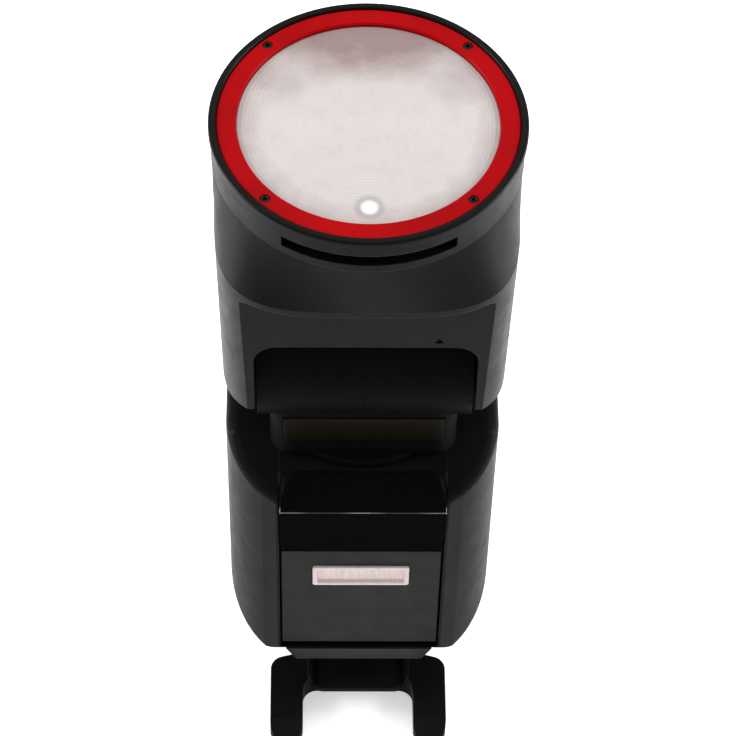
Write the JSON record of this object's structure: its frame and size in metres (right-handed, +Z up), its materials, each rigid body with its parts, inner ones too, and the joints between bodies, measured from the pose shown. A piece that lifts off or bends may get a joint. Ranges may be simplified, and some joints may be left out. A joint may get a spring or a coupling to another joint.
{
  "type": "round-head speedlight flash",
  "caption": "Speedlight flash with a round zooming head that tilts and swivels on a battery housing with a hot-shoe foot, on a small cold-shoe stand.",
  "frame": {"origin": "centre of the footprint, on the table, below the swivel axis", "axes": "+Z up along the swivel axis towards the upright head's lens, -Y towards the front with the small flash, +X towards the battery side"},
  "size_m": [0.076, 0.0832, 0.215],
  "materials": {
    "head_plastic": "fine spark texture",
    "body_plastic": "fine spark texture",
    "neck_plastic": "satin",
    "neck_strip": "polished",
    "rim_plastic": "satin",
    "ring_red": "satin enamel",
    "black_screw": "blackened",
    "lens": "fine moulded prisms",
    "lamp": "clear dome over white board",
    "smoked_window": "polished",
    "assist_lamp": "polished",
    "module_plastic": "fine texture",
    "module_lens": "frosted",
    "polished_reflector": "polished",
    "tube_glass": "clear",
    "seal_rubber": "matte silicone",
    "screen_glass": "polished",
    "screen": "liquid-crystal grey",
    "key_rubber": "matte",
    "key_plastic": "satin",
    "lit_key": "translucent",
    "dial_plastic": "knurled satin",
    "chassis_plastic": "moulded",
    "foot_plastic": "satin",
    "stand_plastic": "fine texture",
    "battery_plastic": "fine texture",
    "bearing_plastic": "self-lubricating",
    "steel": "satin",
    "socket_metal": "nickel plated",
    "brass": "machined",
    "board": "solder mask",
    "capacitor_sleeve": "shrink sleeve",
    "winding": "taped winding"
  },
  "bodies": {
    "stand": {"stand_base": "stand_plastic", "stand_pads": "key_rubber", "thread_insert": "brass"},
    "housing": {"front_cover": "body_plastic", "rear_cover": "body_plastic", "swivel_bearing": "bearing_plastic", "assist_window": "smoked_window", "assist_lamp": "assist_lamp", "screen_glass": "screen_glass", "screen_module": "screen", "main_board": "board", "main_capacitor": "capacitor_sleeve", "charging_transformer": "winding", "usb_port": "socket_metal", "sync_jack": "socket_metal", "battery_contacts": "brass", "foot_block": "foot_plastic", "foot_screws": "steel", "shoe_plate": "steel", "shoe_contacts": "brass"},
    "lock_lever": {"lock_lever": "key_plastic"},
    "lock_pin": {"lock_pin": "steel"},
    "sub_flash": {"sub_flash_case": "module_plastic", "sub_flash_lens": "module_lens", "sub_flash_reflector": "polished_reflector", "sub_flash_tube": "tube_glass"},
    "battery": {"battery": "battery_plastic"},
    "battery_latch": {"battery_latch": "key_plastic"},
    "port_cover": {"port_cover": "key_rubber"},
    "control_dial": {"control_dial": "dial_plastic"},
    "set_button": {"set_button": "key_plastic"},
    "function_key_1": {"function_key_1": "key_rubber"},
    "function_key_2": {"function_key_2": "key_rubber"},
    "function_key_3": {"function_key_3": "key_rubber"},
    "function_key_4": {"function_key_4": "key_rubber"},
    "menu_button": {"menu_button": "key_plastic"},
    "test_button": {"test_button": "lit_key"},
    "power_switch": {"power_switch": "key_plastic"},
    "turret": {"turret": "neck_plastic", "turret_clip": "steel", "neck_covers": "neck_plastic", "neck_strip": "neck_strip", "tilt_shaft": "steel", "tilt_detents": "steel"},
    "head": {"head_barrel": "head_plastic", "head_rear_shell": "head_plastic", "side_panels": "head_plastic", "head_chassis": "chassis_plastic", "rim_collar": "rim_plastic", "accessory_ring": "ring_red", "ring_screws": "black_screw", "fresnel_lens": "lens", "modelling_lamp": "lamp", "guide_rods": "steel", "zoom_motor": "steel"},
    "zoom_carriage": {"zoom_frame": "chassis_plastic", "reflector": "polished_reflector", "flash_tube": "tube_glass", "tube_seals": "seal_rubber"},
    "lead_screw": {"lead_screw": "steel"}
  },
  "joints": [
    {"name": "shoe_slide", "type": "slide", "parent": "stand", "child": "housing", "axis": [0, -1, 0], "range_m": [0, 0.036]},
    {"name": "lever_turn", "type": "hinge", "parent": "housing", "child": "lock_lever", "pos_m": [0, 0.0105, 0.0197], "axis": [0, 0, 1], "range_deg": [0, 60]},
    {"name": "pin_drop", "type": "slide", "parent": "housing", "child": "lock_pin", "axis": [0, 0, -1], "range_m": [0, 0.0016]},
    {"name": "sub_flash_pull", "type": "slide", "parent": "housing", "child": "sub_flash", "axis": [0, -1, 0], "range_m": [0, 0.012]},
    {"name": "battery_pull", "type": "slide", "parent": "housing", "child": "battery", "axis": [1, 0, 0], "range_m": [0, 0.036]},
    {"name": "latch_slide", "type": "slide", "parent": "battery", "child": "battery_latch", "axis": [0, 0, -1], "range_m": [0, 0.003], "stiffness_N_per_m": 200, "springref_m": -0.0005},
    {"name": "port_cover_open", "type": "hinge", "parent": "housing", "child": "port_cover", "pos_m": [-0.0358, 0.001, 0.054], "axis": [0, -1, 0], "range_deg": [0, 110]},
    {"name": "dial_turn", "type": "hinge", "parent": "housing", "child": "control_dial", "pos_m": [0, 0.029, 0.052], "axis": [0, 1, 0], "continuous": true},
    {"name": "set_button_press", "type": "slide", "parent": "housing", "child": "set_button", "axis": [0, -1, 0], "range_m": [0, 0.0012], "stiffness_N_per_m": 400},
    {"name": "function_key_1_press", "type": "slide", "parent": "housing", "child": "function_key_1", "axis": [0, -1, 0], "range_m": [0, 0.0009], "stiffness_N_per_m": 400},
    {"name": "function_key_2_press", "type": "slide", "parent": "housing", "child": "function_key_2", "axis": [0, -1, 0], "range_m": [0, 0.0009], "stiffness_N_per_m": 400},
    {"name": "function_key_3_press", "type": "slide", "parent": "housing", "child": "function_key_3", "axis": [0, -1, 0], "range_m": [0, 0.0009], "stiffness_N_per_m": 400},
    {"name": "function_key_4_press", "type": "slide", "parent": "housing", "child": "function_key_4", "axis": [0, -1, 0], "range_m": [0, 0.0009], "stiffness_N_per_m": 400},
    {"name": "menu_button_press", "type": "slide", "parent": "housing", "child": "menu_button", "axis": [0, -1, 0], "range_m": [0, 0.0012], "stiffness_N_per_m": 400},
    {"name": "test_button_press", "type": "slide", "parent": "housing", "child": "test_button", "axis": [0, -1, 0], "range_m": [0, 0.0012], "stiffness_N_per_m": 400},
    {"name": "power_slide", "type": "slide", "parent": "housing", "child": "power_switch", "axis": [1, 0, 0], "range_m": [0, 0.0042]},
    {"name": "swivel", "type": "hinge", "parent": "housing", "child": "turret", "pos_m": [0, 0, 0.11], "axis": [0, 0, 1], "range_deg": [-165, 165]},
    {"name": "tilt", "type": "hinge", "parent": "turret", "child": "head", "pos_m": [0, -0.0044, 0.145], "axis": [1, 0, 0], "range_deg": [-30, 97]},
    {"name": "zoom", "type": "slide", "parent": "head", "child": "zoom_carriage", "axis": [0, 0, 1], "range_m": [0, 0.009]},
    {"name": "lead_screw_turn", "type": "hinge", "parent": "head", "child": "lead_screw", "pos_m": [0.012, 0.0306, 0.185], "axis": [0, 0, 1], "range_deg": [-2, 545]}
  ],
  "couplings": [
    {"joint": "lever_turn", "follows": "pin_drop", "rad_per_m": 654.5},
    {"joint": "lead_screw_turn", "follows": "zoom", "rad_per_m": 1047.2}
  ]
}
